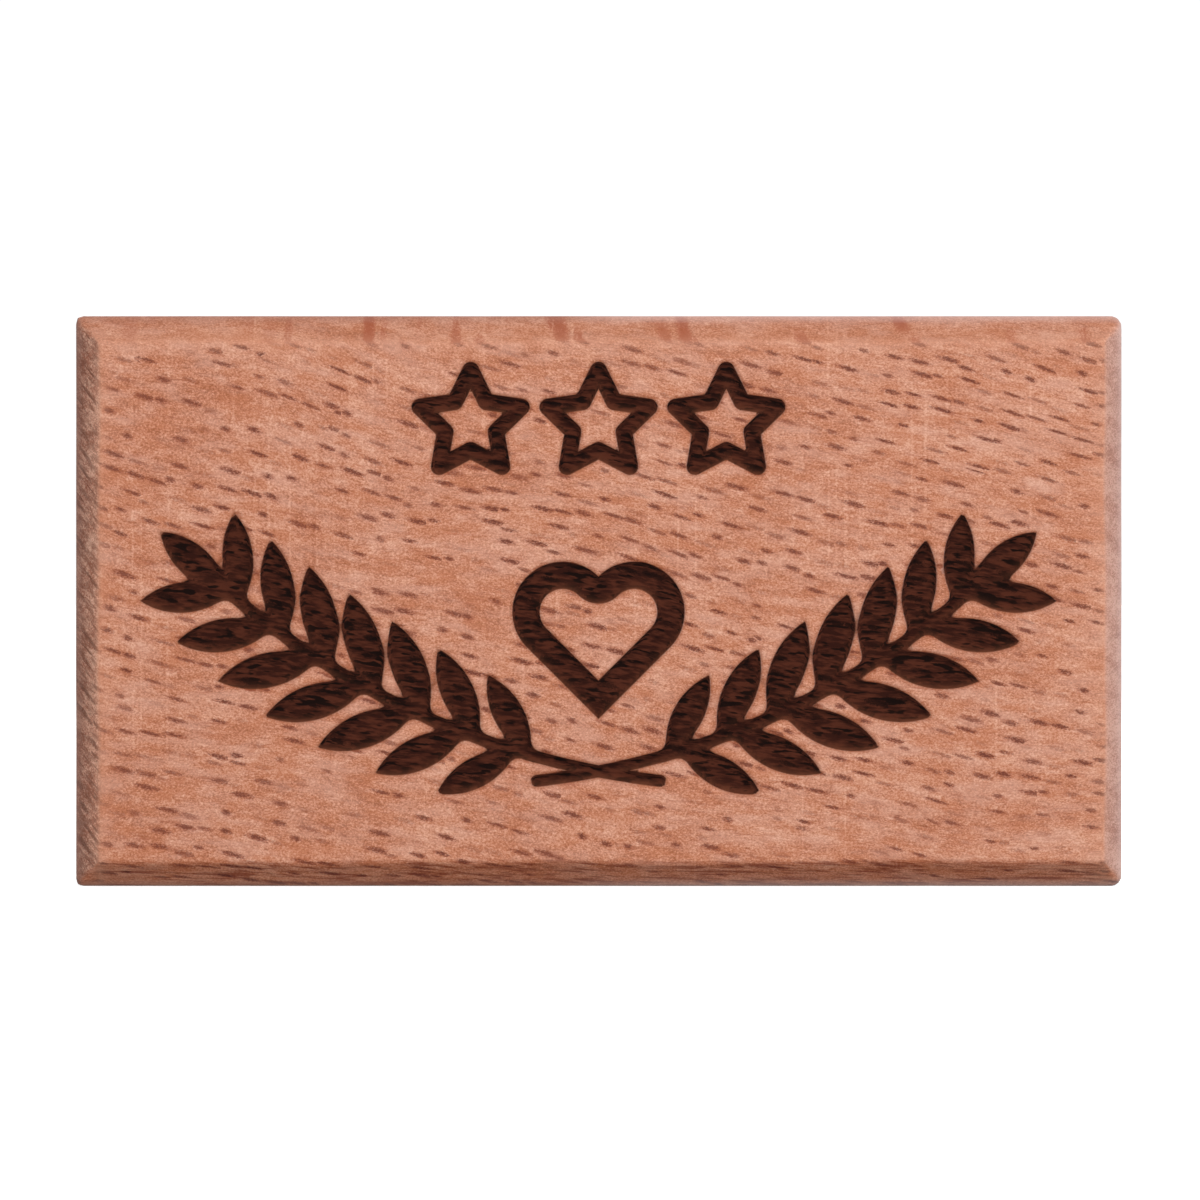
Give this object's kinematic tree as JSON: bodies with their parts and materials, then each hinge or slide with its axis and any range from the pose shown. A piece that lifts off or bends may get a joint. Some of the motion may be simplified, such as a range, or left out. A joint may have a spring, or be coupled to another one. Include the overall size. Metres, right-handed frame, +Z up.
{
  "type": "engraved wooden plaque",
  "caption": "Small bevelled hardwood plaque block with an engraved star, heart and laurel motif, a flush keyhole hanger plate on the back and rubber wall bumpers.",
  "frame": {"origin": "middle of the bounding box in width and depth, at the height of the lower edge that the plaque stands on", "axes": "+X to the viewer's right along the width, +Y from the engraved front towards the wall, +Z up"},
  "size_m": [0.11, 0.02, 0.06],
  "materials": {
    "beech": "bare planed beech, satin, with a scorched dark brown engraving",
    "plated_steel": "stamped sheet, bright zinc plated",
    "screw_steel": "zinc plated",
    "bumper_rubber": "matte"
  },
  "bodies": {
    "root": {"plaque_block": "beech", "keyhole_plate": "plated_steel", "screw_upper": "screw_steel", "screw_lower": "screw_steel", "bumper_upper_left": "bumper_rubber", "bumper_upper_right": "bumper_rubber", "bumper_lower_left": "bumper_rubber", "bumper_lower_right": "bumper_rubber"}
  },
  "joints": []
}
